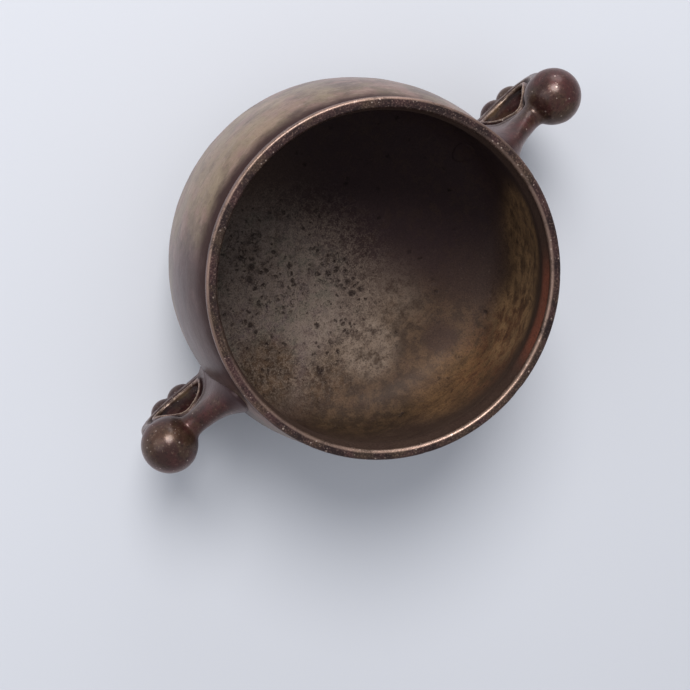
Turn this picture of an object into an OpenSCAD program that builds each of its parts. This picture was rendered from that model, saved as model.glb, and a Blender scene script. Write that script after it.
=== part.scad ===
// Bronze incense burner: a low-bellied round bowl on a ring foot, with two sculpted loop
// handles. Each handle is seated on the outside of the wall and held by two flush rivets.
// Millimetres. +Z is up through the mouth and the handles lie along X. The origin is the
// centre of the foot ring's underside.

/* [Bowl] */
// Height from the table to the top of the lip
height = 78; // [74:1:86]
// Outer radius of the lip
lip_r = 55; // [54:0.5:56]
// Height of the lip band
lip_h = 4.6; // [4:0.2:5.5]
// Width of the flat face on top of the lip
lip_face = 2.4; // [1.8:0.1:2.8]
// Outer radius at the bottom of the neck groove
neck_r = 53; // [52.8:0.1:53.4]
// Depth of the neck groove below the top of the lip
neck_drop = 9; // [8:0.5:10]
// Largest outer radius of the belly
belly_r = 61.5; // [60.5:0.5:62.5]
// Depth of the widest part of the belly below the top of the lip
belly_drop = 51; // [48:1:53]
// Thickness of the wall
wall = 3; // [2.6:0.1:3.4]
// Thickness of the floor
floor_t = 4; // [3:0.5:5]

/* [Foot ring] */
// Height of the foot ring
foot_h = 7.5; // [6.5:0.5:8.5]
// Outer radius of the foot ring where it meets the bowl
foot_r = 43; // [42:0.5:44]
// Flare of the foot ring at the table
foot_flare = 1.8; // [1:0.2:2.4]
// Thickness of the foot ring
foot_wall = 5; // [4:0.5:6]

/* [Handles] */
// Distance from the axis to the centre of the bulb head
bulb_reach = 84.5; // [83:0.5:86]
// Depth of the bulb head's centre below the top of the lip
bulb_drop = 33.4; // [32:0.2:35]
// Radius of the bulb head
bulb_r = 9.3; // [9:0.1:9.6]
// Radius of the inner lobe of the spur under the loop
inner_lobe_r = 5.8; // [5.4:0.1:6.2]
// Radius of the outer lobe of the spur under the loop
outer_lobe_r = 5.6; // [5.2:0.1:6]

/* [Rivets] */
// Radius of the rivet shanks
rivet_r = 2; // [1.6:0.1:2.4]
// Radius of the flush head at the inside of the wall
rivet_head_r = 3.4; // [3:0.1:3.8]
// Length of shank set into the handle
rivet_grip = 5; // [4:0.5:6]

/* [Hidden] */

bowl_colour = [0.36, 0.31, 0.28];
handle_colour = [0.33, 0.21, 0.19];
rivet_colour = [0.40, 0.30, 0.22];

round_fn = 96;          // sides of turned parts in the preview
bulb_fn = 48;           // sides of the bulb heads
lobe_fn = 32;           // sides of the spur's lobes
rivet_fn = 32;          // sides of rivets and their bores
curve_steps = 12;       // steps along each curve of the bowl's profile
station_steps = 4;      // steps between two stations of a handle

// Heights above the table
neck_z = height - neck_drop;
belly_z = height - belly_drop;
shoulder_z = foot_h;                // flat shoulder that the foot ring is seated on
boss_z = foot_h - 2.5;              // underside of the boss inside the ring
floor_z = boss_z + floor_t + 1.5;   // lowest point of the cavity
boss_r = foot_r - foot_wall;

// Heights of the two rivets of each handle, and the inside of the wall at those heights
upper_rivet_z = height - 29;
lower_rivet_z = height - 58;
upper_rivet_seat = belly_r - wall - 1.5;
lower_rivet_seat = belly_r - wall - 2.4;
countersink = 1.8;                  // depth of a rivet's cone
head_stock = 6;                     // length of head that is dressed off inside the wall

// Profile points are [radius, z]
function bezier(a, b, c, d, steps) = [for (i = [1 : steps]) let (t = i / steps, s = 1 - t)
    s * s * s * a + 3 * s * s * t * b + 3 * s * t * t * c + t * t * t * d];

// The outer wall, from the neck groove down over the belly to the shoulder of the foot
function outer_wall() = concat(
    bezier([neck_r, neck_z], [neck_r + 3.5, neck_z - 5.5], [belly_r, belly_z + 28],
        [belly_r, belly_z], curve_steps),
    bezier([belly_r, belly_z], [belly_r, belly_z - 11], [foot_r + 9, shoulder_z + 1.5],
        [foot_r, shoulder_z], curve_steps));

// The lip band: flat on top, rounded at its outer edge, undercut into the neck groove
function lip_outline() = concat(
    [[lip_r - lip_face - 1, height], [lip_r - 1, height]],
    bezier([lip_r - 1, height], [lip_r - 0.2, height], [lip_r, height - 0.7],
        [lip_r, height - 1.6], 4),
    bezier([lip_r, height - 1.6], [lip_r, height - lip_h], [neck_r, height - lip_h + 0.6],
        [neck_r, neck_z], 6));

// The cavity, from its centre up to the inner edge of the lip
function cavity_wall() = concat(
    [[0, floor_z]],
    bezier([0, floor_z], [28, floor_z], [belly_r - wall, shoulder_z + 3],
        [belly_r - wall, belly_z], 2 * curve_steps),
    bezier([belly_r - wall, belly_z], [belly_r - wall, belly_z + 28],
        [neck_r - 0.6, neck_z - 3], [neck_r - 1.6, neck_z + 1], curve_steps),
    [[neck_r - 2, neck_z + 3.5], [lip_r - lip_face - 1, height - 0.6]]);

// Everything inside the bowl's outer surface
module bowl_envelope() {
    rotate_extrude($fn = round_fn)
        polygon(concat([[0, height]], lip_outline(), outer_wall(), [[0, shoulder_z]]));
}

module bowl_cavity() {
    rotate_extrude($fn = round_fn)
        polygon(concat(cavity_wall(), [[0, height - 0.6]]));
}

// A rivet along +X before its head is dressed flush with the inside of the wall
module rivet_body(z, seat) {
    translate([seat, 0, z]) rotate([0, 90, 0]) {
        cylinder(r = rivet_r, h = wall + rivet_grip, $fn = rivet_fn);
        cylinder(r1 = rivet_head_r, r2 = rivet_r, h = countersink, $fn = rivet_fn);
        translate([0, 0, -head_stock]) cylinder(r = rivet_head_r, h = head_stock, $fn = rivet_fn);
    }
}

module upper_rivet_body() {
    rivet_body(upper_rivet_z, upper_rivet_seat);
}

module lower_rivet_body() {
    rivet_body(lower_rivet_z, lower_rivet_seat);
}

module bowl() {
    color(bowl_colour) difference() {
        rotate_extrude($fn = round_fn)
            polygon(concat(cavity_wall(), lip_outline(), outer_wall(),
                [[boss_r, shoulder_z], [boss_r, boss_z], [0, boss_z]]));
        for (turn = [0, 180]) rotate([0, 0, turn]) {
            upper_rivet_body();
            lower_rivet_body();
        }
    }
}

module foot_ring() {
    color(bowl_colour) rotate_extrude($fn = round_fn)
        polygon(concat(
            [[boss_r, 1], [boss_r + 1, 0], [foot_r + foot_flare - 0.8, 0]],
            bezier([foot_r + foot_flare - 0.8, 0], [foot_r + foot_flare + 0.6, 0.2],
                [foot_r + foot_flare, 2.4], [foot_r - 0.6, 4], 8),
            [[foot_r - 0.6, foot_h - 1], [foot_r, foot_h], [boss_r, foot_h]]));
}

// Stations round the edge of a handle's opening: [distance from the axis, depth below the lip,
// half width, thickness], over the arm, down under the bulb head, back along the lower limb and
// up beside the wall
stations = [[69.2, 39.4, 4.3, 24.5], [73.5, 37.8, 3.8, 9.6], [77.8, 38.6, 5, 9.4],
    [81.4, 41.4, 6.7, 10], [83.8, 46, 6.8, 8.6], [84.2, 51, 6, 7.6], [82, 55, 5.3, 7],
    [77.5, 56.4, 4.9, 6.8], [72, 55.4, 4.9, 7.6], [67.5, 53.2, 5.2, 12], [65.2, 48.8, 5.8, 10],
    [65.6, 44.6, 5.6, 13], [67, 41.6, 5, 24]];

// Lobes of the spur under the loop: [distance from the axis, depth below the lip, radius]
lobes = [[74.4, 65.2, inner_lobe_r], [82, 66, outer_lobe_r]];

// The section across the loop is [sideways, outwards from the opening] in mm: a round crown,
// then a flat side that ends in a groove and a bead at the inner face. The side outline is
// [distance in from the half width, outwards]
crown_steps = 12;
side_outline = [[0.1, 2.8], [0.6, 2.2], [0.2, 1.6], [-0.2, 0.9], [0.1, 0.2], [0.8, -0.1],
    [1.6, 0.4], [2.8, 0.9]];

function section(half_w, thick) = let (crown_h = min(thick - 3.4, 1.5 * half_w)) concat(
    [for (i = [0 : crown_steps]) let (turn = i * 180 / crown_steps)
        [-half_w * cos(turn), thick - crown_h + crown_h * sin(turn)]],
    [for (p = side_outline) [half_w - p[0], p[1]]],
    [[0, 1.1]],
    [for (i = [len(side_outline) - 1 : -1 : 0])
        [side_outline[i][0] - half_w, side_outline[i][1]]]);

// Closed Catmull-Rom curve through the stations
station_n = len(stations);
function between(a, b, c, d, t) = 0.5 * (2 * b + (c - a) * t
    + (2 * a - 5 * b + 4 * c - d) * t * t + (3 * b - a - 3 * c + d) * t * t * t);
path = [for (i = [0 : station_n - 1], k = [0 : station_steps - 1]) between(
    stations[(i + station_n - 1) % station_n], stations[i],
    stations[(i + 1) % station_n], stations[(i + 2) % station_n], k / station_steps)];
path_n = len(path);

// Direction of travel at step i, as a unit vector [x, z]
function heading(i) = let (
    a = path[(i + path_n - 1) % path_n],
    b = path[(i + 1) % path_n],
    d = [b[0] - a[0], a[1] - b[1]]) d / norm(d);

loop_points = [for (i = [0 : path_n - 1]) let (h = heading(i), p = path[i])
    for (s = section(p[2], p[3])) [p[0] - h[1] * s[1], s[0], height - p[1] + h[0] * s[1]]];

ring_n = len(section(1, 1));
loop_faces = [for (i = [0 : path_n - 1], j = [0 : ring_n - 1], half = [0, 1]) let (
    a = i * ring_n + j,
    b = i * ring_n + (j + 1) % ring_n,
    c = (i + 1) % path_n * ring_n + j,
    d = (i + 1) % path_n * ring_n + (j + 1) % ring_n)
    half == 0 ? [a, d, c] : [a, b, d]];

module handle() {
    color(handle_colour) difference() {
        union() {
            polyhedron(loop_points, loop_faces);
            translate([bulb_reach, 0, height - bulb_drop]) sphere(bulb_r, $fn = bulb_fn);
            for (lobe = lobes)
                translate([lobe[0], 0, height - lobe[1]]) sphere(lobe[2], $fn = lobe_fn);
        }
        bowl_envelope();
        upper_rivet_body();
        lower_rivet_body();
    }
}

module handle_right() {
    handle();
}

module handle_left() {
    rotate([0, 0, 180]) handle();
}

// A rivet is dressed flush with the inside of the wall
module upper_rivet() {
    color(rivet_colour) difference() {
        upper_rivet_body();
        bowl_cavity();
    }
}

module lower_rivet() {
    color(rivet_colour) difference() {
        lower_rivet_body();
        bowl_cavity();
    }
}

module upper_rivet_left() {
    rotate([0, 0, 180]) upper_rivet();
}

module upper_rivet_right() {
    upper_rivet();
}

module lower_rivet_left() {
    rotate([0, 0, 180]) lower_rivet();
}

module lower_rivet_right() {
    lower_rivet();
}

bowl();
foot_ring();
handle_left();
handle_right();
upper_rivet_left();
upper_rivet_right();
lower_rivet_left();
lower_rivet_right();
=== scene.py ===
import math

import bpy
import numpy as np
from mathutils import Euler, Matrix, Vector


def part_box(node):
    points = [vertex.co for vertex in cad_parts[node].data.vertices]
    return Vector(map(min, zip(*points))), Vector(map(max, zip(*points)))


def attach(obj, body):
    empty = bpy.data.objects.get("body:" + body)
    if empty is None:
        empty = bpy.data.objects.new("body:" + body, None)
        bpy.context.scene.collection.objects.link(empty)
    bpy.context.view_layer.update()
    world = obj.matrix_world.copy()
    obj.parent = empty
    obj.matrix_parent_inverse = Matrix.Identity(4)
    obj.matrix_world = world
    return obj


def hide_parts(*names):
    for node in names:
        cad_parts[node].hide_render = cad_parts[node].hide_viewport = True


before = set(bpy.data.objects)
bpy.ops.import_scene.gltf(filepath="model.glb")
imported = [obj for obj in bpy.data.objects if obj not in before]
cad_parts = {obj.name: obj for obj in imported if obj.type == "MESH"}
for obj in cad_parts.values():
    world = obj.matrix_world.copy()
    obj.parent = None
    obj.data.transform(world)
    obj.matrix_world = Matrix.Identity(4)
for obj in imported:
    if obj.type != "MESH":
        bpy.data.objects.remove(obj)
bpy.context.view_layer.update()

mm = 0.001
perMetre = 1000                     # millimetres
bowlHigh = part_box("bowl")[1]
height = bowlHigh.z / mm            # top of the lip above the table
bellyRadius = bowlHigh.x / mm


# ---- nodes ----

def tone(red, green, blue):         # a colour as a screen shows it, 0 to 255
    def linear(c):
        return ((c / 255 + 0.055) / 1.055) ** 2.4 if c > 10 else c / 3295
    return (linear(red), linear(green), linear(blue), 1.0)


spotLook = {"radius": 0.46, "rim": 0.02, "soft": (0.5, 1.15), "faint": (0.02, 0.08)}     # in parts of a cell


class Wire:                         # a socket, so that node maths reads as Python
    def __init__(self, tree, socket=None):
        self.tree = tree
        self.socket = socket

    def plug(self, target, value):
        if isinstance(value, Wire):
            self.tree.links.new(value.socket, target)
        else:
            target.default_value = value

    def make(self, kind, settings=None, inputs=None, out=0):       # any other node
        node = self.tree.nodes.new(kind)
        for key, value in (settings or {}).items():
            setattr(node, key, value)
        for key, value in (inputs or {}).items():
            self.plug(node.inputs[key], value)
        return Wire(self.tree, node.outputs[out])

    def maths(self, operation, *values):
        return self.make("ShaderNodeMath", {"operation": operation}, dict(enumerate(values)))

    def __add__(self, other):
        return self.maths("ADD", self, other)

    def __sub__(self, other):
        return self.maths("SUBTRACT", self, other)

    def __rsub__(self, other):
        return self.maths("SUBTRACT", other, self)

    def __mul__(self, other):
        return self.maths("MULTIPLY", self, other)

    def __truediv__(self, other):
        return self.maths("DIVIDE", self, other)

    def __rtruediv__(self, other):
        return self.maths("DIVIDE", other, self)

    __radd__ = __add__
    __rmul__ = __mul__

    def most(self, other):
        return self.maths("MAXIMUM", self, other)

    def least(self, other):
        return self.maths("MINIMUM", self, other)

    def step(self, low, high):      # 0 at low, 1 at high, eased between
        return self.make("ShaderNodeMapRange", {"interpolation_type": "SMOOTHSTEP"},
                         {"Value": self, "From Min": low, "From Max": high}, "Result")

    def tint(self, under, over):    # colours: under at 0, over at 1
        return self.make("ShaderNodeMix", {"data_type": "RGBA"}, {0: self, 6: under, 7: over}, 2)

    def part(self, axis):           # one part of a vector
        return self.make("ShaderNodeSeparateXYZ", None, {0: self}, axis)

    def spread(self, x, y, z):      # a vector scaled along each axis
        return self.make("ShaderNodeVectorMath", {"operation": "MULTIPLY"}, {0: self, 1: (x, y, z)})

    def noise(self, size, detail=3.0, rough=0.5, seed=0.0):      # size in mm, about 0.5 in the mean
        return self.make("ShaderNodeTexNoise", {"noise_dimensions": "4D"},
                         {"Vector": self, "W": seed, "Scale": 1 / (size * mm), "Detail": detail,
                          "Roughness": rough})

    def cells(self, size, seed=0.0):      # distance to the nearest of scattered points
        return self.make("ShaderNodeTexVoronoi", {"voronoi_dimensions": "4D", "feature": "F1"},
                         {"Vector": self, "W": seed, "Scale": 1 / (size * mm)}, "Distance")

    def spots(self, size, share, seed=0.0):         # scattered spots of many sizes, in a share of the cells
        look = spotLook
        shifted = self.make("ShaderNodeVectorMath", {"operation": "ADD"}, {0: self, 1: (seed, seed, seed)})
        cell = self.make("ShaderNodeTexVoronoi", None,
                         {"Vector": shifted, "Scale": 1 / (size * mm)}, "Distance")
        draw = Wire(self.tree, cell.socket.node.outputs["Color"]).part(0)
        radius = (1 - draw / share).most(0.0) * look["radius"]
        return (1 - (cell / (radius + look["rim"])).step(*look["soft"])) * radius.step(*look["faint"])

    def near(self, x, y, z, radius):      # 1 at a place in mm, 0 at radius from it
        away = self.make("ShaderNodeVectorMath", {"operation": "DISTANCE"},
                         {0: self, 1: (x * mm, y * mm, z * mm)}, "Value")
        return 1 - (away / (radius * mm)).step(0.0, 1.0)


# ---- outlines ----

def curve(a, b, c, d, steps):       # a Bezier curve without its first point
    out = []
    for i in range(1, steps + 1):
        t = i / steps
        s = 1 - t
        weights = (s ** 3, 3 * s * s * t, 3 * s * t * t, t ** 3)
        out.append(tuple(sum(w * p[k] for w, p in zip(weights, (a, b, c, d))) for k in (0, 1)))
    return out


def straight(a, b, steps):
    return [tuple(p + (q - p) * i / steps for p, q in zip(a, b)) for i in range(1, steps + 1)]


bowlShape = {                       # millimetres, from the axis and above the table
    "lipRadius": 55.0, "lipHeight": 4.6, "lipFace": 2.4, "neckRadius": 53.0, "neckDrop": 9.0,
    "bellyDrop": 51.0, "wall": 3.0, "floor": 10.5, "footRadius": 43.0, "footHeight": 7.5,
    "bossRadius": 38.0, "bossHeight": 5.0, "around": 384,
}
footShape = {"radius": 43.0, "flare": 1.8, "inner": 38.0, "height": 7.5, "around": 300}
castSurface = {                     # sizes and depths of what the mould left, in millimetres
    "hollowSize": 17.0, "hollowDepth": 0.22, "pitSize": 3.6, "pitDepth": 0.35,
    "nickSize": 4.0, "nickDepth": 0.1, "weld": 0.02,
}


def cavityOutline(s):
    neck = height - s["neckDrop"]
    belly = height - s["bellyDrop"]
    inner = bellyRadius - s["wall"]
    throat = s["neckRadius"] - 2
    out = [(0.0, s["floor"])]
    out += curve((0, s["floor"]), (28, s["floor"]), (inner, s["footHeight"] + 3), (inner, belly), 78)
    out += curve((inner, belly), (inner, belly + 28),
                 (throat + 1.4, neck - 3), (throat + 0.4, neck + 1), 40)
    out += curve((throat + 0.4, neck + 1), (throat + 0.1, neck + 2.4),
                 (throat, neck + 3), (throat, neck + 3.6), 6)
    return out + straight((throat, neck + 3.6), (s["lipRadius"] - s["lipFace"] - 1, height - 1.5), 6)


def lipOutline(s):
    edge = s["lipRadius"] - s["lipFace"] - 1
    rim = s["lipRadius"]
    out = curve((edge, height - 1.5), (edge, height - 0.6), (edge + 0.5, height), (edge + 1.3, height), 10)
    out += straight((edge + 1.3, height), (rim - 1.0, height), 3)
    out += curve((rim - 1.0, height), (rim - 0.3, height), (rim, height - 0.5), (rim, height - 1.3), 10)
    out += straight((rim, height - 1.3), (rim, height - 2.0), 2)
    return out + curve((rim, height - 2.0), (rim, height - s["lipHeight"]),
                       (s["neckRadius"], height - s["lipHeight"] + 0.6),
                       (s["neckRadius"], height - s["neckDrop"]), 14)


def flankOutline(s):                # from the neck over the belly to the foot
    neck = height - s["neckDrop"]
    belly = height - s["bellyDrop"]
    foot = s["footHeight"]
    out = curve((s["neckRadius"], neck), (s["neckRadius"] + 3.5, neck - 5.5),
                (bellyRadius, belly + 28), (bellyRadius, belly), 44)
    return out + curve((bellyRadius, belly), (bellyRadius, belly - 11),
                       (s["footRadius"] + 9, foot + 1.5), (s["footRadius"], foot), 24)


def underOutline(s):                # from the foot over the boss to the axis
    foot = s["footHeight"]
    out = straight((s["footRadius"], foot), (s["bossRadius"], foot), 3)
    out += straight((s["bossRadius"], foot), (s["bossRadius"], s["bossHeight"]), 3)
    return out + straight((s["bossRadius"], s["bossHeight"]), (0.0, s["bossHeight"]), 14)


def footOutline(s):
    outer = s["radius"] + s["flare"]
    out = [(s["inner"], s["height"]), (s["inner"], 4.0), (s["inner"], 1.0)]
    out += curve((s["inner"], 1.0), (s["inner"], 0.3), (s["inner"] + 0.3, 0.0), (s["inner"] + 1.0, 0.0), 5)
    out += straight((s["inner"] + 1, 0.0), (outer - 0.8, 0.0), 5)
    out += curve((outer - 0.8, 0.0), (outer + 0.6, 0.2), (outer, 2.4), (s["radius"] - 0.6, 4.0), 18)
    out += curve((s["radius"] - 0.6, 4.0), (s["radius"] - 1.0, 4.6), (s["radius"] - 0.8, 6.0),
                 (s["radius"] - 0.6, s["height"] - 1), 8)
    return out + [(s["radius"], s["height"] - 0.05), (s["radius"], s["height"]), (s["inner"], s["height"])]


def outlineRidges(points, reach=0.32, gain=0.6):     # above 0.5 on a proud edge, below it in a groove
    line = np.array(points)
    step = np.diff(line, axis=0)
    size = np.linalg.norm(step, axis=1)
    turn = np.zeros(len(line))
    turn[1:-1] = -np.arcsin(np.clip((step[:-1, 0] * step[1:, 1] - step[:-1, 1] * step[1:, 0])
                                    / np.maximum(size[:-1] * size[1:], 1e-9), -1, 1))
    gap = np.linalg.norm(line[:, None] - line[None], axis=2)
    near = np.exp(-(gap / reach) ** 2)
    return np.clip(0.5 + gain * (near @ turn), 0, 1)


def outlineObject(name, points, sides):      # a profile in the XZ plane, with its side and its edges marked
    mesh = bpy.data.meshes.new(name)
    edges = [(i, i + 1) for i in range(len(points) - 1)]
    mesh.from_pydata([(r * mm, 0, z * mm) for r, z in points], edges, [])
    markPoints(mesh, "side", np.array(sides))
    markPoints(mesh, "ridge", outlineRidges(points))
    return bpy.data.objects.new(name, mesh)


# ---- turned pieces, by geometry nodes ----

def turnedTree():
    tree = bpy.data.node_groups.new("turnedCasting", "GeometryNodeTree")
    tree.is_modifier = True
    weld = castSurface["weld"] * mm
    for label, kind, start in (("Profile", "NodeSocketObject", None), ("Rows", "NodeSocketInt", 10),
                               ("Around", "NodeSocketInt", 96), ("Hollow Depth", "NodeSocketFloat", 0.0),
                               ("Hollow Size", "NodeSocketFloat", 17.0),
                               ("Pit Depth", "NodeSocketFloat", 0.0), ("Pit Size", "NodeSocketFloat", 3.0),
                               ("Nick Depth", "NodeSocketFloat", 0.0), ("Nick Size", "NodeSocketFloat", 4.0),
                               ("Seed", "NodeSocketFloat", 0.0), ("Bronze", "NodeSocketMaterial", None)):
        socket = tree.interface.new_socket(label, in_out="INPUT", socket_type=kind)
        if start is not None:
            socket.default_value = start
    tree.interface.new_socket("Casting", in_out="OUTPUT", socket_type="NodeSocketGeometry")
    w = Wire(tree)
    entry = tree.nodes.new("NodeGroupInput").outputs
    given = {s.name: Wire(tree, s) for s in entry if s.name}
    profile = w.make("GeometryNodeObjectInfo", None, {"Object": given["Profile"]}, "Geometry")
    grid = w.make("GeometryNodeMeshGrid", None, {
        "Size X": 1.0, "Size Y": 1.0, "Vertices X": given["Around"] + 1, "Vertices Y": given["Rows"]})
    flat = w.make("GeometryNodeInputPosition")
    turn = (flat.part(0) + 0.5) * math.tau
    row = w.maths("ROUND", (flat.part(1) + 0.5) * (given["Rows"] - 1))
    place = w.make("GeometryNodeSampleIndex", {"data_type": "FLOAT_VECTOR", "domain": "POINT"},
                   {"Geometry": profile, "Value": w.make("GeometryNodeInputPosition"), "Index": row})
    radius = place.part(0)
    spot = w.make("ShaderNodeCombineXYZ", None, {0: radius * w.maths("COSINE", turn),
                                                 1: radius * w.maths("SINE", turn), 2: place.part(2)})
    marked = grid
    for name in ("side", "ridge"):
        along = w.make("GeometryNodeInputNamedAttribute", {"data_type": "FLOAT"}, {"Name": name})
        value = w.make("GeometryNodeSampleIndex", {"data_type": "FLOAT", "domain": "POINT"},
                       {"Geometry": profile, "Index": row, "Value": along})
        marked = w.make("GeometryNodeStoreNamedAttribute", {"data_type": "FLOAT", "domain": "POINT"},
                        {"Geometry": marked, "Name": name, "Value": value})
    shell = w.make("GeometryNodeSetPosition", None, {"Geometry": marked, "Position": spot})
    merged = w.make("GeometryNodeMergeByDistance", None, {"Geometry": shell, "Distance": weld})
    closed = w.make("GeometryNodeFlipFaces", None, {"Mesh": merged})

    here = w.make("GeometryNodeInputPosition")
    kept = w.make("GeometryNodeInputNamedAttribute", {"data_type": "FLOAT"}, {"Name": "side"})
    inside = kept.step(0.6, 0.9)
    lip = kept.step(0.2, 0.45) * (1 - kept.step(0.55, 0.8))
    hollow = noiseOf(w, here, given["Hollow Size"], given["Seed"]).step(0.35, 0.75)
    pit = 1 - cellsOf(w, here, given["Pit Size"], given["Seed"]).step(0.12, 0.34)
    patch = noiseOf(w, here, given["Pit Size"] * 3, given["Seed"] + 5).step(0.5, 0.6)
    nick = noiseOf(w, here, given["Nick Size"], given["Seed"] + 9).step(0.6, 0.72)
    depth = (hollow * given["Hollow Depth"] * (1 - lip) + pit * patch * inside * given["Pit Depth"]
             + nick * lip * given["Nick Depth"]) * mm
    normal = w.make("GeometryNodeInputNormal")
    sink = w.make("ShaderNodeVectorMath", {"operation": "SCALE"}, {0: normal, "Scale": depth * -1})
    cast = w.make("GeometryNodeSetPosition", None, {"Geometry": closed, "Offset": sink})
    smooth = w.make("GeometryNodeSetShadeSmooth", None, {"Geometry": cast})
    real = w.make("GeometryNodeRealizeInstances", None, {"Geometry": smooth})
    done = w.make("GeometryNodeSetMaterial", None, {"Geometry": real, "Material": given["Bronze"]})
    tree.links.new(done.socket, tree.nodes.new("NodeGroupOutput").inputs[0])
    return tree


def noiseOf(w, where, size, seed):           # noise whose size in mm is a socket
    return w.make("ShaderNodeTexNoise", {"noise_dimensions": "4D"},
                  {"Vector": where, "W": seed, "Scale": perMetre / size, "Detail": 2.0})


def cellsOf(w, where, size, seed):
    return w.make("ShaderNodeTexVoronoi", {"voronoi_dimensions": "4D", "feature": "F1"},
                  {"Vector": where, "W": seed, "Scale": perMetre / size}, "Distance")


def plainMesh(obj, name):                    # the evaluated object as a mesh of its own
    bpy.context.view_layer.update()
    graph = bpy.context.evaluated_depsgraph_get()
    mesh = bpy.data.meshes.new_from_object(obj.evaluated_get(graph), preserve_all_data_layers=True,
                                           depsgraph=graph)
    mesh.name = name
    return mesh


def growFromTree(name, tree, values):        # sets a tree's inputs, evaluates it and keeps a plain mesh
    obj = bpy.data.objects.new(name, bpy.data.meshes.new(name + "Seed"))
    bpy.context.scene.collection.objects.link(obj)
    modifier = obj.modifiers.new("Grow", "NODES")
    modifier.node_group = tree
    sockets = {item.name: item.identifier for item in tree.interface.items_tree if item.in_out == "INPUT"}
    for label, value in values.items():
        modifier[sockets[label]] = value
    mesh = plainMesh(obj, name)
    obj.modifiers.clear()
    obj.data = mesh
    return obj


def turnedPiece(name, tree, outline, sides, around, material, seed, depths):
    profile = outlineObject(name + "Profile", outline, sides)
    bpy.context.scene.collection.objects.link(profile)
    obj = growFromTree(name, tree, {
        "Profile": profile, "Rows": len(outline), "Around": around, "Seed": seed, "Bronze": material,
        "Hollow Depth": depths["hollowDepth"], "Hollow Size": castSurface["hollowSize"],
        "Pit Depth": depths["pitDepth"], "Pit Size": castSurface["pitSize"],
        "Nick Depth": depths["nickDepth"], "Nick Size": castSurface["nickSize"]})
    bpy.data.objects.remove(profile)
    return obj


# ---- the sculpted handles ----

handleShape = {                     # millimetres
    # round the opening: distance from the axis, depth below the lip, half width, thickness
    "stations": [(69.2, 39.4, 4.3, 24.5), (73.5, 37.8, 3.8, 9.6), (77.2, 39.3, 5.2, 9.6),
                 (80.3, 42.5, 6.7, 10.6), (82.7, 46.6, 6.8, 9.4), (83.9, 51.2, 6.0, 7.6),
                 (82.0, 55.0, 5.3, 7.0), (77.5, 56.4, 4.9, 6.8), (72.0, 55.4, 4.9, 7.6),
                 (67.5, 53.2, 5.2, 12.0), (65.2, 48.8, 5.8, 10.0), (65.6, 44.6, 5.6, 13.0),
                 (67.0, 41.6, 5.0, 24.0)],
    "steps": 10,
    # from the flank over a groove and the bead to the inner face: in from the half width, outwards
    "side": [(0.2, 5.4), (0.0, 4.6), (-0.1, 3.9), (0.2, 3.3), (0.95, 2.8), (1.3, 2.3), (1.05, 1.7),
             (0.15, 1.25), (-0.3, 0.8), (-0.1, 0.3), (0.5, 0.0), (1.2, 0.1), (2.0, 0.55), (3.0, 0.9)],
    "flank": 5.6, "arch": 2.8, "archSteps": 20, "hollow": 1.1,
    # distance from the axis, depth below the lip, radius
    "bulb": (84.5, 33.4, 9.3),
    "lobes": [(74.4, 65.2, 5.8), (82.0, 66.0, 5.6)],
    "ball": (32, 64),                   # rows and columns of a ball's mesh
    # how the arm and the lower limb flow into the bulb: towards the opening, outside the bead
    "blend": {"way": (-0.65, 0.0, -0.76), "from": -0.05, "over": 0.2, "reach": 3.0, "fade": 2.5,
              "bead": 11.5, "beadFade": 2, "rounds": 70},
    "opening": (74.8, 47.0),            # its middle
    "voxel": 0.32, "smoothing": 3, "fillet": 2.6, "filletReach": 6.0, "seat": 0.3, "rootReach": 7.0,
    "wearReach": 2, "wearGain": 1.2,
}


def crossSection(s, halfWidth, thick):
    crown = min(thick - s["flank"], s["arch"] * halfWidth)
    arch = [(-halfWidth * math.cos(a), thick - crown + crown * math.sin(a))
            for a in (i * math.pi / s["archSteps"] for i in range(s["archSteps"] + 1))]
    right = [(halfWidth - x, y) for x, y in s["side"]]
    return arch + right + [(0.0, s["hollow"])] + [(-x, y) for x, y in reversed(right)]


def loopMesh(s):                    # a closed sweep round the opening
    stations = np.array(s["stations"])
    count = len(stations)
    path = []
    for i in range(count):
        a, b, c, d = (stations[(i + k) % count] for k in (-1, 0, 1, 2))
        for k in range(s["steps"]):
            t = k / s["steps"]
            path.append(0.5 * (2 * b + (c - a) * t + (2 * a - 5 * b + 4 * c - d) * t * t
                               + (3 * b - a - 3 * c + d) * t ** 3))
    path = np.array(path)
    ahead = np.roll(path, -1, 0) - np.roll(path, 1, 0)
    heading = np.stack([ahead[:, 0], -ahead[:, 1]], 1)
    heading /= np.linalg.norm(heading, axis=1)[:, None]
    points = []
    for (x, drop, halfWidth, thick), (hx, hz) in zip(path, heading):
        for across, out in crossSection(s, halfWidth, thick):
            points.append(((x - hz * out) * mm, across * mm, (height - drop + hx * out) * mm))
    ring = len(points) // len(path)
    faces = []
    for i in range(len(path)):
        for j in range(ring):
            a, b = i * ring + j, i * ring + (j + 1) % ring
            c, d = (i + 1) % len(path) * ring + (j + 1) % ring, (i + 1) % len(path) * ring + j
            faces.append((a, b, c, d))
    mesh = bpy.data.meshes.new("loop")
    mesh.from_pydata(points, [], faces)
    return mesh


def ballMesh(centre, radius, rows, columns):
    points, faces = [], []
    for i in range(1, rows):
        for j in range(columns):
            a, b = math.pi * i / rows, math.tau * j / columns
            way = Vector((math.sin(a) * math.cos(b), math.sin(a) * math.sin(b), math.cos(a)))
            points.append(way * radius + centre)
    points += [centre + Vector((0, 0, radius)), centre - Vector((0, 0, radius))]
    top, bottom = len(points) - 2, len(points) - 1
    for j in range(columns):
        k = (j + 1) % columns
        faces.append((top, j, k))
        last = (rows - 2) * columns
        faces.append((bottom, last + k, last + j))
        for i in range(rows - 2):
            faces.append((i * columns + j, (i + 1) * columns + j, (i + 1) * columns + k, i * columns + k))
    mesh = bpy.data.meshes.new("ball")
    mesh.from_pydata(points, [], faces)
    return mesh


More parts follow.
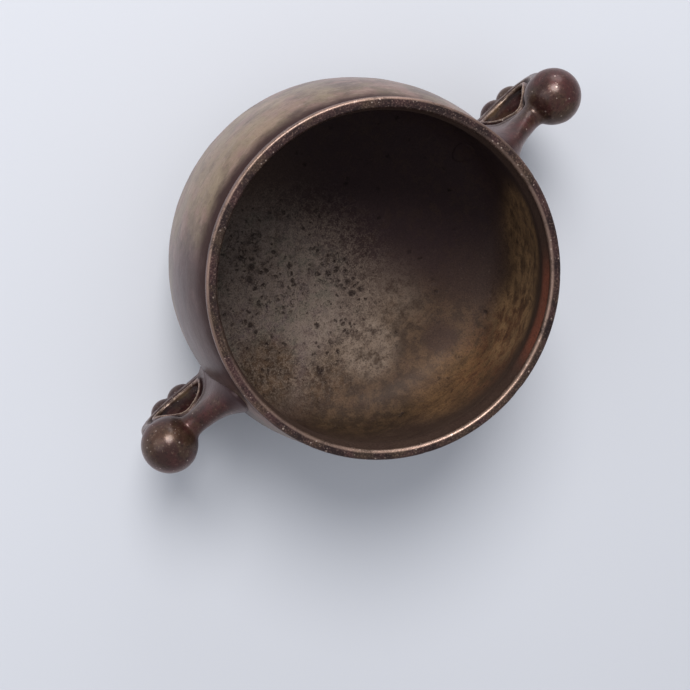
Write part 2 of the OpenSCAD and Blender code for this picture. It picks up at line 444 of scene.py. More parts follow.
def joined(name, meshes):
    points, faces = [], []
    for mesh in meshes:
        start = len(points)
        points += [v.co.copy() for v in mesh.vertices]
        faces += [tuple(start + i for i in p.vertices) for p in mesh.polygons]
        bpy.data.meshes.remove(mesh)
    mesh = bpy.data.meshes.new(name)
    mesh.from_pydata(points, [], faces)
    return mesh


def readPoints(mesh):
    co = np.zeros(len(mesh.vertices) * 3, np.float32)
    mesh.vertices.foreach_get("co", co)
    return co.reshape(-1, 3).astype(float)


def readNormals(mesh):
    n = np.zeros(len(mesh.vertices) * 3, np.float32)
    mesh.vertices.foreach_get("normal", n)
    return n.reshape(-1, 3).astype(float)


def writePoints(mesh, points):
    mesh.vertices.foreach_set("co", points.astype(np.float32).ravel())
    mesh.update()


def markPoints(mesh, name, values):
    mesh.attributes.new(name, "FLOAT", "POINT").data.foreach_set("value", values.astype(np.float32))


def edgeEnds(mesh):
    ends = np.zeros(len(mesh.edges) * 2, np.int32)
    mesh.edges.foreach_get("vertices", ends)
    return ends.reshape(-1, 2)


def neighbourMean(values, ends, count):      # the mean of each point's neighbours
    total = np.zeros((count,) + values.shape[1:])
    degree = np.zeros(count)
    for a, b in ((0, 1), (1, 0)):
        np.add.at(total, ends[:, a], values[ends[:, b]])
        np.add.at(degree, ends[:, a], 1)
    return total / degree.reshape((-1,) + (1,) * (values.ndim - 1))


def eased(mesh, rounds, weight=1.0):         # plain smoothing, by more or less from point to point
    ends = edgeEnds(mesh)
    points = readPoints(mesh)
    share = 0.5 * np.reshape(weight, (-1, 1))
    for _ in range(rounds):
        points += (neighbourMean(points, ends, len(points)) - points) * share
    writePoints(mesh, points)


def markRidges(mesh, reach, gain):           # "ridge": above 0.5 on edges that wear, below it in creases
    ends = edgeEnds(mesh)
    points = readPoints(mesh)
    normals = readNormals(mesh)
    length = np.linalg.norm(points[ends[:, 0]] - points[ends[:, 1]], axis=1).mean()
    bend = -((neighbourMean(points, ends, len(points)) - points) * normals).sum(1) / length ** 2 * mm * gain
    for _ in range(reach):
        bend = 0.5 * bend + 0.5 * neighbourMean(bend, ends, len(bend))
    markPoints(mesh, "ridge", np.clip(0.5 + bend, 0, 1))


def smooth(t):
    t = np.clip(t, 0, 1)
    return t * t * (3 - 2 * t)


def wallRadius(z):                           # outside radius of the bowl at heights in metres
    outline = np.array(lipOutline(bowlShape) + flankOutline(bowlShape)) * mm
    order = np.argsort(outline[:, 1])
    return np.interp(z, outline[order, 1], outline[order, 0])


def handleMesh(s):
    def at(x, drop, radius):
        return ballMesh(Vector((x * mm, 0, (height - drop) * mm)), radius * mm, *s["ball"])
    rough = joined("handleRough", [loopMesh(s), at(*s["bulb"])] + [at(*lobe) for lobe in s["lobes"]])
    worker = bpy.data.objects.new("handleRough", rough)
    bpy.context.scene.collection.objects.link(worker)
    remesh = worker.modifiers.new("Voxel", "REMESH")
    remesh.mode = "VOXEL"
    remesh.voxel_size = s["voxel"] * mm
    mesh = plainMesh(worker, "handleCast")
    bpy.data.objects.remove(worker)
    eased(mesh, s["smoothing"])

    points = readPoints(mesh)                # the arm and the lower limb flow into the bulb
    x, drop, radius = s["bulb"]
    out = points - np.array((x, 0.0, height - drop)) * mm
    away = np.linalg.norm(out, axis=1)
    ring = s["blend"]
    along = (out / away[:, None]) @ np.array(ring["way"])
    fromHole = np.hypot(points[:, 0] / mm - s["opening"][0], points[:, 2] / mm - height + s["opening"][1])
    facing = smooth((along - ring["from"]) / ring["over"])
    close = 1 - smooth((away / mm - radius - ring["reach"]) / ring["fade"])
    eased(mesh, ring["rounds"], facing * close * smooth((fromHole - ring["bead"]) / ring["beadFade"]))
    points = readPoints(mesh)

    normals = readNormals(mesh)              # the root is seated on the wall and spreads over it
    radius = np.hypot(points[:, 0], points[:, 1])
    outward = np.stack([points[:, 0] / radius, points[:, 1] / radius, np.zeros(len(points))], 1)
    clear = radius - wallRadius(points[:, 2])
    spread = normals - (normals * outward).sum(1)[:, None] * outward
    spread /= np.maximum(np.linalg.norm(spread, axis=1), 1e-6)[:, None]
    push = s["fillet"] * mm * np.clip(1 - np.maximum(clear, 0) / (s["filletReach"] * mm), 0, 1) ** 2
    points += spread * push[:, None]
    radius = np.hypot(points[:, 0], points[:, 1])
    seat = wallRadius(points[:, 2]) - s["seat"] * mm
    short = np.maximum(seat - radius, 0)
    points[:, :2] += outward[:, :2] * short[:, None]
    writePoints(mesh, points)
    markPoints(mesh, "root", 1 - smooth(clear / mm / s["rootReach"]))
    return mesh


# ---- finishes ----

def finish(name, paint, gloss):     # paint gives colour, roughness, metal, relief in millimetres and coat
    material = bpy.data.materials.new(name)
    material.use_nodes = True
    tree = material.node_tree
    tree.nodes.clear()
    w = Wire(tree)
    where = w.make("ShaderNodeTexCoord", out=3)
    colour, rough, metal, relief, coat = paint(w, where)
    normal = w.make("ShaderNodeBump", None, {"Strength": 1.0, "Distance": mm, "Height": relief}, "Normal")
    shader = w.make("ShaderNodeBsdfPrincipled", None,
                    {"Base Color": colour, "Roughness": rough, "Metallic": metal, "Normal": normal,
                     "Coat Weight": coat, "Coat Roughness": gloss["coatRough"],
                     "Specular IOR Level": gloss["shine"], "Specular Tint": gloss["sheen"]}, "BSDF")
    tree.links.new(shader.socket, tree.nodes.new("ShaderNodeOutputMaterial").inputs[0])
    return material


def mark(w, name):                  # a named value that the mesh carries
    return w.make("ShaderNodeAttribute", {"attribute_name": name}, out=2)


outsideBronze = {
    "body": tone(74, 56, 45), "olive": tone(114, 101, 78), "rose": tone(117, 91, 81),
    "pale": tone(148, 130, 112), "tanAndPaintedLight": tone(132, 114, 90), "plum": tone(50, 31, 33),
    "deep": tone(38, 19, 15), "coat": 0.4, "coatRough": 0.22, "shine": 0.45, "sheen": tone(255, 226, 222),
}
outsidePlaces = {                   # the middle and the reach of patches of colour, painted light and painted shade, in millimetres
    "tanAndPaintedLight": (6, -60, 52, 52), "plum": (52, -26, 58, 40), "rightRoot": (64, 0, 40, 34),
    "leftRoot": (-64, 0, 40, 34),
}
lipBronze = {
    "body": tone(66, 45, 44), "deep": tone(26, 16, 17), "olive": tone(70, 57, 43),
    "worn": tone(160, 134, 120), "speck": tone(190, 170, 158), "coat": 0.2,
    # distances from the axis: the worn inner edge and the worn outer edge, each with a painted highlight on
    # one half, and the flank, darkened as painted shade at the back
    "inner": (52.2, 52.9), "outer": (53.9, 54.6), "flank": (54.2, 55.0),
}
insideBronze = {
    "body": tone(70, 55, 44), "grey": tone(100, 90, 84), "lilac": tone(90, 76, 82), "green": tone(76, 77, 67),
    "dust": tone(142, 127, 114), "khaki": tone(50, 38, 26), "gold": tone(136, 103, 68),
    "rust": tone(116, 76, 52), "barkAndPaintedLight": tone(146, 115, 82), "copper": tone(98, 52, 37),
    "sootAndShade": tone(34, 21, 26), "pit": tone(22, 16, 15), "stain": tone(48, 34, 27), "coat": 0.02,
}
insidePlaces = {                    # the middle and the reach of patches of colour, painted light and painted shade, in millimetres
    "grey": (30, -7, 11, 48), "lilac": (34, 8, 13, 34), "pitted": (24, -2, 11, 52),
    "dimBack": (28, 42, 18, 31), "dimMiddle": (-7, 42, 13, 30), "dimRight": (46, 12, 16, 18),
    "creamBack": (14, 31, 12, 17), "creamRight": (20, 17, 11, 22), "creamLeft": (-3, 21, 11, 22),
    "barkAndPaintedLightLeft": (-50, 32, 42, 30), "barkAndPaintedLightBack": (-32, 50, 42, 28), "gold": (0, 59, 33, 30),
    "rust": (-16, 54, 40, 32), "copper": (-31, 41, 76, 26), "stainBack": (-8, 46, 15, 12),
    "stainLeft": (-33, 31, 14, 26), "sootAndShadeLeft": (-46, -14, 22, 80), "sootAndShadeFront": (-2, -62, 44, 48),
    "clusterMiddle": (24, -8, 11, 18), "clusterLeft": (3, 4, 11, 11), "clusterFront": (24, -27, 12, 13),
}
handleBronze = {
    "body": tone(52, 34, 31), "plum": tone(68, 37, 36), "olive": tone(72, 57, 43), "deep": tone(16, 9, 9),
    "hollow": tone(104, 82, 55), "worn": tone(190, 164, 142), "speck": tone(190, 172, 162), "coat": 0.35,
    "coatRough": 0.2, "shine": 0.3, "sheen": tone(255, 222, 216),
}
footBronze = {
    "body": tone(66, 48, 42), "olive": tone(92, 78, 62), "deep": tone(34, 22, 21),
    "worn": tone(150, 128, 108), "coat": 0.2, "coatRough": 0.3, "shine": 0.5, "sheen": tone(255, 226, 222),
    "turning": 9.0, "turningDepth": 0.012,          # the lathe's lines
}


def below(z, low, high):            # 0 at one depth under the top of the lip, 1 at another, eased between
    return z.step(height - low, height - high)


def grainOf(where):                 # the fine skin of a sand casting, rubbed smooth
    return where.noise(0.55, 4.0, 0.6, 3.0) * 0.03 + where.noise(2.4, 3.0, 0.5, 8.0) * 0.07


def outsidePaint(w, where):
    tones = outsideBronze

    def at(name):
        return where.near(*outsidePlaces[name])
    streak = where.spread(0.3, 0.3, 1.0).noise(1.8, 4.0, 0.6, 1.0)       # soft marks that run round the body
    cloud = where.noise(15.0, 4.0, 0.6, 4.0)
    patch = where.noise(6.0, 4.0, 0.62, 2.0)
    fine = where.noise(0.8, 3.0, 0.6, 5.0)
    mix = cloud * 0.5 + patch * 0.3 + streak * 0.2
    z = where.part(2) * perMetre
    colour = mix.step(0.4, 0.6).tint(tones["body"], tones["olive"])
    colour = (where.noise(10.0, 4.0, 0.6, 6.0).step(0.46, 0.58) * 0.8).tint(colour, tones["rose"])
    # tan patina, lighter as painted light on the front, the side the key lamp faces
    colour = (at("tanAndPaintedLight").step(0.0, 0.7) * mix.step(0.4, 0.56) * 0.6).tint(colour, tones["tanAndPaintedLight"])
    colour = ((1 - streak.step(0.34, 0.48)) * 0.3).tint(colour, tones["pale"])
    colour = (streak.step(0.54, 0.66) * 0.3).tint(colour, tones["deep"])
    colour = (patch.step(0.58, 0.7) * 0.35).tint(colour, tones["deep"])
    colour = (fine.step(0.56, 0.7) * 0.3).tint(colour, tones["deep"])
    colour = ((1 - fine.step(0.3, 0.42)) * 0.25).tint(colour, tones["pale"])
    # plum patina on this side of the belly, made darker as painted shade
    plumAndShadeSide = at("plum").step(0.0, 0.6) * (0.6 + patch * 0.5)
    roots = at("rightRoot").most(at("leftRoot")).step(0.0, 0.8) * (0.6 + cloud * 0.6)
    colour = roots.most(plumAndShadeSide).least(1.0).tint(colour, tones["plum"])
    shadeUnderLip = below(z + streak * 3.0 + cloud * 5.0 - 4.0, 17.0, 11.5)     # painted shade: dark, with a dull coat, in the hollow under the lip
    colour = shadeUnderLip.tint(colour, tones["deep"])
    # painted shade: darker low on the belly, towards the foot and the table
    colour = ((1 - z.step(8.0, 24.0)) * 0.6).tint(colour, tones["deep"])
    rough = 0.36 + streak * 0.14 + fine * 0.08
    relief = grainOf(where) + streak * 0.04
    return colour, rough, 0.4 - streak * 0.1, relief, tones["coat"] * (1 - shadeUnderLip * 0.9)


def insidePaint(w, where):
    tones = insideBronze

    def at(name):
        return where.near(*insidePlaces[name])
    z = where.part(2) * perMetre
    warp = w.make("ShaderNodeTexNoise", None, {"Vector": where, "Scale": 620.0, "Detail": 4.0}, "Color")
    bent = w.make("ShaderNodeVectorMath", {"operation": "MULTIPLY_ADD"},
                  {0: warp, 1: (0.0019,) * 3, 2: where})                 # so that spots aren't quite round
    cloud = where.noise(13.0, 6.0, 0.66, 11.0)
    patch = where.noise(5.0, 5.0, 0.64, 15.0)
    mottle = where.noise(2.8, 4.0, 0.66, 24.0)
    speck = where.noise(1.3, 4.0, 0.72, 12.0)
    dust = where.noise(0.5, 2.0, 0.6, 16.0)
    rings = bent.spread(0.5, 0.5, 1.0).noise(2.8, 4.0, 0.6, 13.0)
    hairs = bent.spread(1.0, 0.2, 1.0).noise(1.2, 3.0, 0.6, 17.0)
    mix = cloud * 0.4 + patch * 0.3 + mottle * 0.2 + speck * 0.1
    blotch = patch * 0.6 + mottle * 0.4

    colour = mix.step(0.4, 0.58).tint(tones["stain"], tones["body"])     # the floor, ashy on one side
    ashy = at("grey").step(0.0, 0.5)
    colour = (ashy * mix.step(0.26, 0.5)).tint(colour, tones["grey"])
    colour = (at("lilac") * patch.step(0.48, 0.6) * 0.8).tint(colour, tones["lilac"])
    colour = (ashy * where.noise(7.0, 3.0, 0.6, 19.0).step(0.5, 0.62) * 0.55).tint(colour, tones["green"])
    dim = at("dimBack").step(0.0, 0.45).most(at("dimMiddle").step(0.0, 0.55))
    dim = dim.most(at("dimRight").step(0.0, 0.6))
    colour = (dim * (1.2 - mix.step(0.4, 0.6) * 0.35).least(1.0)).tint(colour, tones["khaki"])
    colour = (dim * blotch.step(0.44, 0.64) * 0.34).tint(colour, tones["barkAndPaintedLight"])
    cream = at("creamBack").step(0.0, 0.6).most(at("creamRight") * 0.7)
    cream = cream.most(at("creamLeft") * 0.7) * (mix * 0.8 + mottle * 0.2).step(0.4, 0.56)
    colour = (cream * 0.8).tint(colour, tones["dust"])

    side = at("barkAndPaintedLightLeft").most(at("barkAndPaintedLightBack")).step(0.0, 0.5)           # the wall: warm bark colour, brightened as painted light where the lamps reach it too little
    colour = (side * (0.7 + mix.step(0.4, 0.6) * 0.3)).tint(colour, tones["barkAndPaintedLight"])
    colour = (side * patch.step(0.46, 0.58) * 0.5).tint(colour, tones["khaki"])
    golden = at("gold").step(0.0, 0.8) * (0.3 + mix.step(0.42, 0.6) * 0.6)
    colour = golden.tint(colour, tones["gold"])
    rusty = at("rust").step(0.0, 0.7) * (patch * 0.5 + mottle * 0.5).step(0.44, 0.58)
    colour = (rusty * 0.7).tint(colour, tones["rust"])
    colour = (at("stainBack").step(0.2, 0.8) * 0.8).tint(colour, tones["stain"])
    colour = (at("stainLeft").step(0.0, 0.7) * 0.85).tint(colour, tones["stain"])

    sootAndShadeMask = (at("sootAndShadeLeft") + (mix - 0.5) * 1.1).step(0.05, 0.62)       # partly soot, mostly painted shade on the side the lamps reach least
    sootAndShadeMask = sootAndShadeMask.most(at("sootAndShadeFront").step(0.0, 0.7)) * (1 - side * 0.95)
    colour = (sootAndShadeMask * (0.84 + 0.2 * cloud).least(1.0)).tint(colour, tones["sootAndShade"])
    colour = (z.step(13.0, 26.0) * rings.step(0.5, 0.64) * 0.36).tint(colour, tones["stain"])
    colour = (z.step(10.9, 12.5) * mottle.step(0.5, 0.6) * 0.45).tint(colour, tones["stain"])
    colour = (patch.step(0.52, 0.64) * 0.4).tint(colour, tones["stain"])
    throat = below(z + rings * 1.2 - 0.6, 8.6, 7.4)
    colour = (throat * 0.75).tint(colour, tones["stain"])
    glow = below(z, 8.0, 3.5) * at("copper").step(0.0, 0.7)
    colour = (glow * (0.4 + mottle * 0.8)).tint(colour, tones["copper"])
    ledge = below(z, 9.2, 8.6) * (1 - below(z, 8.4, 7.8))
    colour = (ledge * speck.step(0.46, 0.58) * side * 0.7).tint(colour, tones["dust"])

    crowd = at("pitted").step(0.0, 0.5)                                  # pits, cracks and dust on the floor
    thick = where.noise(9.0, 4.0, 0.62, 14.0)
    pits = (1 - bent.cells(3.6, 0.0).step(0.10, 0.3)) * where.noise(10.8, 2.0, 0.5, 5.0).step(0.46, 0.58)
    large = bent.spots(3.4, 0.5, 0.3) * thick.step(0.44, 0.54)
    small = bent.spots(1.7, 0.45, 0.7) * thick.step(0.38, 0.52)
    clusters = at("clusterMiddle").most(at("clusterLeft")).most(at("clusterFront")).step(0.1, 0.6)
    large = large.most(bent.spots(2.8, 1.0, 1.3) * clusters * mottle.step(0.38, 0.48))
    cracks = 1 - (w.maths("ABSOLUTE", bent.noise(4.2, 3.0, 0.6, 25.0) - 0.5) * 34).least(1.0)
    lines = (hairs.step(0.66, 0.72) * thick.step(0.44, 0.56)).most(cracks * clusters * patch.step(0.46, 0.54))
    dark = (large.most(small * 0.85).most(lines * 0.7) * crowd).most(pits * 0.8)
    halo = (bent.noise(2.4, 4.0, 0.66, 18.0) * 0.6 + thick * 0.4).step(0.5, 0.62) * crowd
    vein = 1 - (w.maths("ABSOLUTE", bent.noise(3.2, 4.0, 0.66, 20.0) - 0.5) * 16).least(1.0)
    colour = (vein * crowd * 0.3).tint(colour, tones["dust"])
    colour = (halo * 0.4).tint(colour, tones["stain"])
    colour = (dark * 0.92).tint(colour, tones["pit"])
    gritty = crowd * 0.85 + 0.15 - sootAndShadeMask * 0.1
    colour = ((1 - speck.step(0.3, 0.44)) * 0.4 * gritty).tint(colour, tones["dust"])
    colour = ((1 - dust.step(0.32, 0.46)) * 0.36 * gritty).tint(colour, tones["dust"])
    colour = (dust.step(0.52, 0.64) * 0.5).tint(colour, tones["pit"])
    rough = 0.68 + dark * 0.2 + sootAndShadeMask * 0.1
    metal = 0.15 * (1 - sootAndShadeMask) * (1 - dark)
    relief = grainOf(where) + speck * 0.14 + rings * 0.1 - dark * 0.3
    return colour, rough, metal, relief, tones["coat"]


def lipPaint(w, where):
    tones = lipBronze
    fine = where.noise(0.6, 3.0, 0.7, 21.0)
    broad = where.noise(7.0, 4.0, 0.6, 22.0)
    ridge = mark(w, "ridge")
    colour = broad.step(0.38, 0.64).tint(tones["deep"], tones["body"])
    colour = (where.noise(11.0, 3.0, 0.6, 26.0).step(0.48, 0.62) * 0.6).tint(colour, tones["olive"])
    colour = (fine.step(0.5, 0.6) * 0.8).tint(colour, tones["deep"])
    colour = ((1 - fine.step(0.34, 0.46)) * 0.4).tint(colour, tones["worn"])
    flat = where.spread(1.0, 1.0, 0.0)
    out = w.make("ShaderNodeVectorMath", {"operation": "LENGTH"}, {0: flat}, "Value") * perMetre
    across = (where.part(1) * perMetre + 60).step(20.0, 90.0)            # 0 at the front, 1 at the back
    # wear and a painted highlight: on the inner edge at the back and on the outer edge at the front, where
    # the key lamp catches them
    edge = (1 - out.step(*tones["inner"])) * across + out.step(*tones["outer"]) * (1 - across)
    worn = ridge.step(0.64, 0.76) * edge * (fine * 0.7 + broad * 0.5).step(0.46, 0.6)
    colour = (worn * 0.6).tint(colour, tones["worn"])
    # painted shade on the outer flank at the back, which faces away from the key lamp
    colour = (out.step(*tones["flank"]) * across * 0.7).tint(colour, tones["deep"])
    chips = where.spots(0.8, 0.14, 0.4) * broad.step(0.36, 0.5)
    colour = (chips * 0.6).tint(colour, tones["speck"])
    rough = 0.34 - worn * 0.06 + fine * 0.1
    return colour, rough, 0.45 + worn * 0.3, grainOf(where) * 1.5 - fine * 0.06, tones["coat"]


def bowlPaint(w, where):
    side = mark(w, "side")
    outer, inner, lip = outsidePaint(w, where), insidePaint(w, where), lipPaint(w, where)
    inward = side.step(0.7, 0.8)
    rim = side.step(0.2, 0.3) * (1 - inward) * below(where.part(2) * perMetre, 6.5, 4.5)
    colour = rim.tint(inward.tint(outer[0], inner[0]), lip[0])
    values = [o + inward * (i - o) for o, i in zip(outer[1:], inner[1:])]
    return [colour] + [v + rim * (n - v) for v, n in zip(values, lip[1:])]


def handlePaint(w, where):
    tones = handleBronze
    ridge = mark(w, "ridge")
    root = mark(w, "root")
    broad = where.noise(8.0, 4.0, 0.6, 31.0)
    fine = where.noise(0.9, 3.0, 0.65, 32.0)
    x = w.maths("ABSOLUTE", where.part(0)) * perMetre - handleShape["opening"][0]
    z = where.part(2) * perMetre - (height - handleShape["opening"][1])
    away = w.maths("SQRT", x * x + z * z)                                # from the middle of the opening
    aside = w.maths("ABSOLUTE", where.part(1)) * perMetre
    within = (1 - away.step(8.6, 9.8)) * (1 - aside.step(3.4, 5.4))
    # painted shade on the arm's flanks around the opening
    flank = (1 - away.step(12.0, 20.0)) * aside.step(2.4, 3.4) * away.step(8.8, 10.5)
    colour = broad.step(0.4, 0.62).tint(tones["body"], tones["plum"])
    colour = (where.noise(9.0, 4.0, 0.62, 33.0).step(0.48, 0.64) * 0.6).tint(colour, tones["olive"])
    colour = (flank * 0.6).tint(colour, tones["deep"])
    colour = (within * (0.5 + fine * 0.7)).tint(colour, tones["hollow"])
    crease = (1 - ridge.step(0.22, 0.46)) * (1 - root.step(0.6, 0.9))
    colour = (crease * 0.9).tint(colour, tones["deep"])
    colour = (fine.step(0.52, 0.66) * 0.5).tint(colour, tones["deep"])
    colour = ((1 - fine.step(0.32, 0.44)) * 0.1).tint(colour, tones["worn"])
    worn = ridge.step(0.62, 0.95) * (0.2 + fine.step(0.4, 0.62) * 0.8) * (1 - root.step(0.3, 0.8))
    worn = worn * (1 - away.step(14.0, 18.0) * 0.75)
    colour = (worn * 0.8).tint(colour, tones["worn"])
    colour = (where.spots(0.8, 0.06, 0.9) * 0.45).tint(colour, tones["speck"])
    colour = (root.step(0.3, 1.0) * 0.9).tint(colour, outsideBronze["plum"])
    rough = 0.24 + broad * 0.16 + fine * 0.06 + crease * 0.2 - worn * 0.04 + root * 0.04
    relief = grainOf(where) * 1.2 + where.noise(6.0, 2.0, 0.5, 35.0) * 0.3
    return colour, rough, 0.45 + worn * 0.35, relief, tones["coat"]


def footPaint(w, where):
    tones = footBronze
    broad = where.noise(9.0, 4.0, 0.6, 41.0)
    ridge = mark(w, "ridge")
    x, y = where.part(0), where.part(1)
    out = w.maths("SQRT", x * x + y * y) * perMetre
    lathe = w.maths("SINE", out * tones["turning"] + broad * 2.0)
    colour = broad.step(0.38, 0.62).tint(tones["body"], tones["olive"])
    colour = ((1 - ridge.step(0.2, 0.45)) * 0.8).tint(colour, tones["deep"])
    worn = ridge.step(0.62, 0.9) * where.noise(1.4, 3.0, 0.6, 42.0).step(0.4, 0.6)
    colour = worn.tint(colour, tones["worn"])
    relief = grainOf(where) + lathe * tones["turningDepth"]
    return colour, 0.42 + broad * 0.1, 0.45 + worn * 0.35, relief, tones["coat"]


# ---- rivets, by geometry nodes ----

rivetShape = {                      # millimetres
    "headRadius": 3.4, "upperDrop": 29.0, "lowerDrop": 58.0, "length": 12.0, "reach": 47.0, "proud": 0.04,
    "around": 40, "along": 4, "rings": 10,
}


def rivetTree(s):
    tree = bpy.data.node_groups.new("dressedRivets", "GeometryNodeTree")
    tree.is_modifier = True
    for label, kind, start in (("Head Radius", "NodeSocketFloat", 0.003),
                               ("Length", "NodeSocketFloat", 0.012),
                               ("Upper Height", "NodeSocketFloat", 0.05),
                               ("Lower Height", "NodeSocketFloat", 0.02),
                               ("Reach", "NodeSocketFloat", 0.05), ("Bronze", "NodeSocketMaterial", None)):
        socket = tree.interface.new_socket(label, in_out="INPUT", socket_type=kind)
        if start is not None:
            socket.default_value = start
    tree.interface.new_socket("Rivets", in_out="OUTPUT", socket_type="NodeSocketGeometry")
    w = Wire(tree)
    given = {s.name: Wire(tree, s) for s in tree.nodes.new("NodeGroupInput").outputs if s.name}
    pin = w.make("GeometryNodeMeshCylinder", {"fill_type": "TRIANGLE_FAN"},
                 {"Vertices": s["around"], "Side Segments": s["along"], "Fill Segments": s["rings"],
                  "Radius": given["Head Radius"], "Depth": given["Length"]})
    pins = tree.nodes.new("GeometryNodeJoinGeometry")
    for level in ("Upper Height", "Lower Height"):
        middle = given["Reach"] + given["Length"] * 0.5
        place = w.make("ShaderNodeCombineXYZ", None, {0: middle, 2: given[level]})
        laid = w.make("GeometryNodeTransform", None, {"Geometry": pin, "Translation": place,
                                                      "Rotation": (0.0, math.pi / 2, 0.0)})
        tree.links.new(laid.socket, pins.inputs[0])
    sides = w.make("GeometryNodeMeshLine", None, {"Count": 2, "Offset": (0.0, 0.0, 0.0)})
    turned = w.make("ShaderNodeCombineXYZ", None, {2: w.make("GeometryNodeInputIndex") * math.pi})
    both = w.make("GeometryNodeInstanceOnPoints", None, {
        "Points": sides, "Instance": Wire(tree, pins.outputs[0]), "Rotation": turned})
    real = w.make("GeometryNodeRealizeInstances", None, {"Geometry": both})
    done = w.make("GeometryNodeSetMaterial", None, {"Geometry": real, "Material": given["Bronze"]})
    tree.links.new(done.socket, tree.nodes.new("NodeGroupOutput").inputs[0])
    return tree


def dressFlush(mesh, s):            # each head follows the inside of the wall, a hair proud of it
    outline = np.array(cavityOutline(bowlShape)) * mm
    points = readPoints(mesh)
    wall = np.interp(points[:, 2], outline[:, 1], outline[:, 0]) - s["proud"] * mm
    flush = np.sqrt(wall ** 2 - points[:, 1] ** 2)
    side = np.sign(points[:, 0])
    along = (np.abs(points[:, 0]) / mm - s["reach"]) / s["length"]
    points[:, 0] = side * (flush + ((s["reach"] + s["length"]) * mm - flush) * along)
    writePoints(mesh, points)


# ---- the pieces ----

def keepPiece(obj, slot, *nodes):
    obj.data.shade_smooth()
    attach(obj, "root")
    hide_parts(*nodes)


turning = turnedTree()
cavity, lip = cavityOutline(bowlShape), lipOutline(bowlShape)
wallLine = flankOutline(bowlShape) + underOutline(bowlShape)
bowlSides = [1.0] * len(cavity) + [0.5] * len(lip) + [0.0] * len(wallLine)
bowl = turnedPiece("bowlBody", turning, cavity + lip + wallLine, bowlSides, bowlShape["around"],
                   finish("bowlPatina", bowlPaint, outsideBronze), 0.0, castSurface)
keepPiece(bowl, "bowl_bronze", "bowl")
print("bowl:", len(bowl.data.polygons), "faces")

footDepths = {"hollowDepth": 0.1, "pitDepth": 0.0, "nickDepth": 0.0}
footLine = footOutline(footShape)[::-1]
foot = turnedPiece("footRing", turning, footLine, [0.0] * len(footLine), footShape["around"],
                   finish("footPatina", footPaint, footBronze), 3.0, footDepths)
keepPiece(foot, "foot_bronze", "foot_ring")
print("foot ring:", len(foot.data.polygons), "faces")

handlePatina = finish("handlePatina", handlePaint, handleBronze)
rightMesh = handleMesh(handleShape)
markRidges(rightMesh, handleShape["wearReach"], handleShape["wearGain"])
rightMesh.materials.append(handlePatina)
leftMesh = rightMesh.copy()
turnedPoints = readPoints(leftMesh) * np.array((-1.0, -1.0, 1.0))
writePoints(leftMesh, turnedPoints)
for side, mesh in (("right", rightMesh), ("left", leftMesh)):
    handle = bpy.data.objects.new("handle" + side.capitalize(), mesh)
    bpy.context.scene.collection.objects.link(handle)
    keepPiece(handle, "handle_bronze", "handle_" + side)
print("handles:", len(rightMesh.polygons), "faces each")

rivets = growFromTree("rivets", rivetTree(rivetShape), {
    "Head Radius": rivetShape["headRadius"] * mm, "Length": rivetShape["length"] * mm,
    "Upper Height": (height - rivetShape["upperDrop"]) * mm,
    "Lower Height": (height - rivetShape["lowerDrop"]) * mm,
    "Reach": rivetShape["reach"] * mm, "Bronze": finish("rivetPatina", insidePaint, outsideBronze)})
dressFlush(rivets.data, rivetShape)
keepPiece(rivets, "rivet_bronze",
          "upper_rivet_left", "upper_rivet_right", "lower_rivet_left", "lower_rivet_right")
print("rivets:", len(rivets.data.polygons), "faces")


# ---- studio ----

studio = {
    "cameraPlace": (0.036777, -0.100648, 0.421544), "cameraTurn": (-11.2861, -13.0713, 139.2843),
    "lens": 62.61, "sensor": 36.0, "clip": (0.01, 20.0),
    "floor": tone(193, 196, 203), "floorRough": 0.8, "floorSize": 3.0, "floorDrop": 0.0002,
    "world": tone(228, 230, 236), "ambient": 0.62,
    "aim": 0.6,                         # the part of the object's height that the lamps point at
    # lamps: place in metres, size, watts, colour
    "lamps": {
        "keyLamp": ((-0.42, -0.88, 1.26), 0.8, 25.0, (1.0, 0.975, 0.95)),
        "sideLamp": ((-0.75, -0.65, 0.25), 0.6, 3.0, (0.96, 0.98, 1.0)),
        "fillLamp": ((0.55, -0.75, 0.75), 1.0, 3.0, (0.96, 0.98, 1.0)),
    },
}


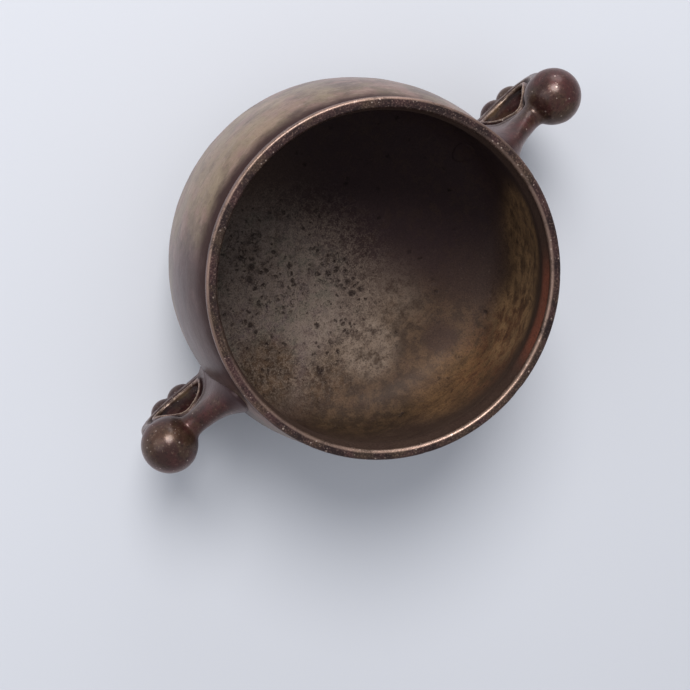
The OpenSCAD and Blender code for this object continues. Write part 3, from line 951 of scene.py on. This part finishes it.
def makeCamera(s):
    camera = bpy.data.cameras.new("camera")
    camera.sensor_width = s["sensor"]
    camera.lens = s["lens"]
    camera.clip_start, camera.clip_end = s["clip"]
    obj = bpy.data.objects.new("camera", camera)
    obj.location = s["cameraPlace"]
    obj.rotation_euler = Euler([math.radians(a) for a in s["cameraTurn"]], "XYZ")
    bpy.context.scene.collection.objects.link(obj)
    bpy.context.scene.camera = obj


def makeFloor(s):
    half = s["floorSize"] / 2
    corners = [(x * half, y * half, -s["floorDrop"]) for x, y in ((-1, -1), (1, -1), (1, 1), (-1, 1))]
    mesh = bpy.data.meshes.new("floor")
    mesh.from_pydata(corners, [], [(0, 1, 2, 3)])
    obj = bpy.data.objects.new("floor", mesh)
    bpy.context.scene.collection.objects.link(obj)
    material = bpy.data.materials.new("paleTable")
    material.use_nodes = True
    shader = material.node_tree.nodes["Principled BSDF"]
    shader.inputs["Base Color"].default_value = s["floor"]
    shader.inputs["Roughness"].default_value = s["floorRough"]
    shader.inputs["Specular IOR Level"].default_value = 0.0
    mesh.materials.append(material)


def makeWorld(s):
    world = bpy.data.worlds.new("studio")
    bpy.context.scene.world = world
    world.use_nodes = True
    tree = world.node_tree
    tree.nodes.clear()
    w = Wire(tree)
    sky = w.make("ShaderNodeBackground", None, {"Color": s["world"], "Strength": s["ambient"]})
    tree.links.new(sky.socket, tree.nodes.new("ShaderNodeOutputWorld").inputs[0])


def makeLamp(name, place, size, watts, colour, aim):
    lamp = bpy.data.lights.new(name, "AREA")
    lamp.shape = "DISK"
    lamp.size = size
    lamp.energy = watts
    lamp.color = colour
    obj = bpy.data.objects.new(name, lamp)
    obj.location = place
    way = Vector((0, 0, height * mm * aim)) - Vector(place)
    obj.rotation_euler = way.to_track_quat("-Z", "Y").to_euler()
    bpy.context.scene.collection.objects.link(obj)


makeCamera(studio)
makeFloor(studio)
makeWorld(studio)
for name, (place, size, watts, colour) in studio["lamps"].items():
    makeLamp(name, place, size, watts, colour, studio["aim"])
bpy.context.scene.view_settings.view_transform = "Standard"
print("studio ready")
